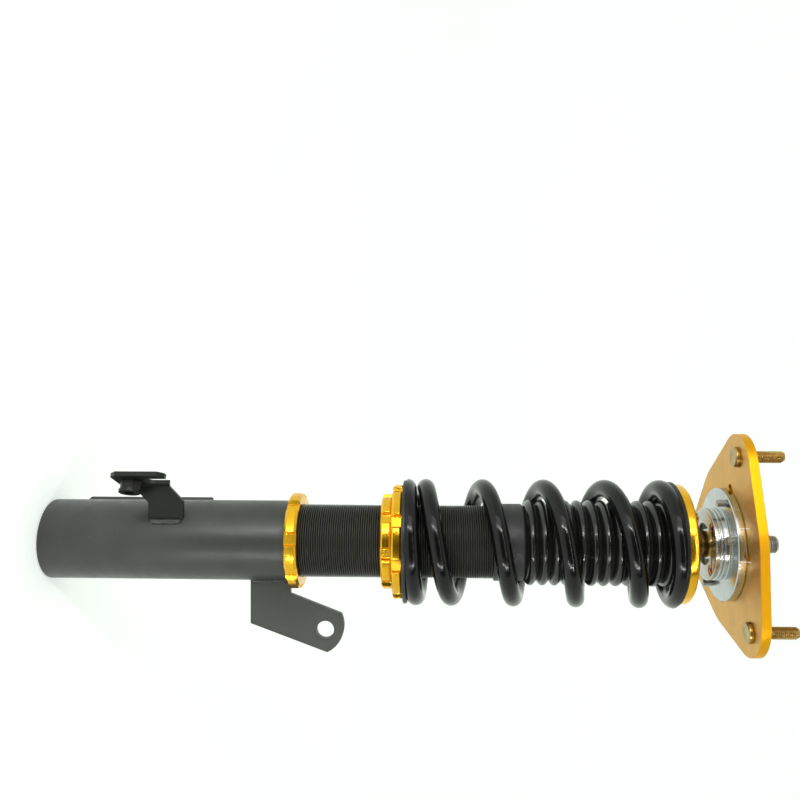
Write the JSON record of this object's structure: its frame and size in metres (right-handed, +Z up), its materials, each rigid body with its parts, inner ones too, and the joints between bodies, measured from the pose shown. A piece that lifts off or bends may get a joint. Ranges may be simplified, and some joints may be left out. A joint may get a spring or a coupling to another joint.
{
  "type": "coilover strut",
  "caption": "Height-adjustable front strut: clamp-in lower tube, threaded body, coil spring on a screwed perch, and a camber-adjustable top mount with a spherical bearing.",
  "frame": {"origin": "centre of the lower tube's bottom end, on the strut axis", "axes": "+Z up the strut towards the top mount; +X towards the anti-roll-bar link tab; -X side carries the hose bracket, whose flange is bent towards -Y"},
  "size_m": [0.1532, 0.1378, 0.5005],
  "materials": {
    "satin_black_paint": "satin black paint",
    "zinc_steel": "zinc-plated and turned steel",
    "gold_anodised": "gold anodised aluminium",
    "black_thread": "black-coated cut thread",
    "black_spring_coat": "gloss black powder coat",
    "black_rubber": "moulded black rubber",
    "black_plastic": "matte black plastic",
    "bump_foam": "microcellular polyurethane",
    "chromed_rod": "hard chrome, ground",
    "machined_aluminium": "turned aluminium",
    "bronze_zinc": "yellow-passivated zinc",
    "liner_fabric": "PTFE liner"
  },
  "bodies": {
    "knuckle_side": {"lower_tube": "satin_black_paint", "tube_base_disc": "satin_black_paint", "locating_rib": "satin_black_paint", "link_tab": "satin_black_paint", "hose_bracket": "satin_black_paint", "hose_weld_nut": "zinc_steel", "weld_beads": "satin_black_paint"},
    "lock_collar": {"lower_lock_collar": "gold_anodised"},
    "damper_body": {"threaded_body": "black_thread", "pressure_tube": "zinc_steel", "gas_valve": "bronze_zinc", "rod_guide": "zinc_steel", "rod_seal": "black_rubber", "gland_cap": "zinc_steel", "boot_cuff": "black_plastic", "dust_boot": "black_rubber"},
    "floating_piston": {"floating_piston": "machined_aluminium"},
    "spring_foot": {"lower_spring_ring": "black_rubber", "coil_spring": "black_spring_coat"},
    "perch_pair": {"perch_lock_ring": "gold_anodised", "spring_perch": "gold_anodised"},
    "rod_assembly": {"piston_rod": "chromed_rod", "damping_piston": "zinc_steel", "piston_band": "black_plastic", "valve_shims": "zinc_steel", "piston_nut": "zinc_steel", "rebound_stop": "black_rubber", "bump_stop": "bump_foam", "bump_stop_cup": "black_plastic", "upper_spring_ring": "black_rubber", "upper_spring_seat": "gold_anodised", "lower_ball_spacer": "bronze_zinc", "bearing_ball": "zinc_steel", "upper_ball_spacer": "bronze_zinc", "rod_nut": "zinc_steel"},
    "liner": {"bearing_liner": "liner_fabric"},
    "backing": {"bearing_backing": "zinc_steel"},
    "housing": {"bearing_race": "zinc_steel", "bearing_circlip": "zinc_steel", "bearing_retainer": "machined_aluminium", "retainer_screws": "bronze_zinc", "bearing_housing": "machined_aluminium", "camber_screws": "zinc_steel", "camber_washers": "zinc_steel"},
    "top_plate": {"camber_plate": "gold_anodised", "mounting_studs": "bronze_zinc"}
  },
  "joints": [
    {"name": "ride_height", "type": "slide", "parent": "knuckle_side", "child": "damper_body", "axis": [0, 0, 1], "range_m": [-0.025, 0.02]},
    {"name": "lock_collar_turn", "type": "hinge", "parent": "knuckle_side", "child": "lock_collar", "pos_m": [0, 0, 0.173], "axis": [0, 0, 1], "range_deg": [-90, 90]},
    {"name": "floating_piston_slide", "type": "slide", "parent": "damper_body", "child": "floating_piston", "axis": [0, 0, 1], "range_m": [-0.01625, 0]},
    {"name": "perch_height", "type": "slide", "parent": "damper_body", "child": "spring_foot", "axis": [0, 0, 1], "range_m": [-0.02, 0]},
    {"name": "perch_turn", "type": "hinge", "parent": "spring_foot", "child": "perch_pair", "pos_m": [0, 0, 0.2405], "axis": [0, 0, 1], "range_deg": [-4801, 1]},
    {"name": "strut_stroke", "type": "slide", "parent": "damper_body", "child": "rod_assembly", "axis": [0, 0, 1], "range_m": [-0.065, 0], "stiffness_N_per_m": 59000, "springref_m": 0.01, "deforming": ["coil_spring", "dust_boot"]},
    {"name": "mount_swivel", "type": "hinge", "parent": "rod_assembly", "child": "liner", "pos_m": [0, 0, 0.4615], "axis": [0, 0, 1], "continuous": true},
    {"name": "mount_tilt_x", "type": "hinge", "parent": "liner", "child": "backing", "pos_m": [0, 0, 0.4615], "axis": [1, 0, 0], "range_deg": [-8, 8]},
    {"name": "mount_tilt_y", "type": "hinge", "parent": "backing", "child": "housing", "pos_m": [0, 0, 0.4615], "axis": [0, 1, 0], "range_deg": [-8, 8]},
    {"name": "camber_slide", "type": "slide", "parent": "housing", "child": "top_plate", "axis": [0.7826, -0.6225, 0], "range_m": [-0.01, 0.01]}
  ],
  "couplings": [
    {"joint": "perch_turn", "follows": "perch_height", "rad_per_m": 4188.8},
    {"joint": "floating_piston_slide", "follows": "strut_stroke", "ratio": 0.25}
  ]
}
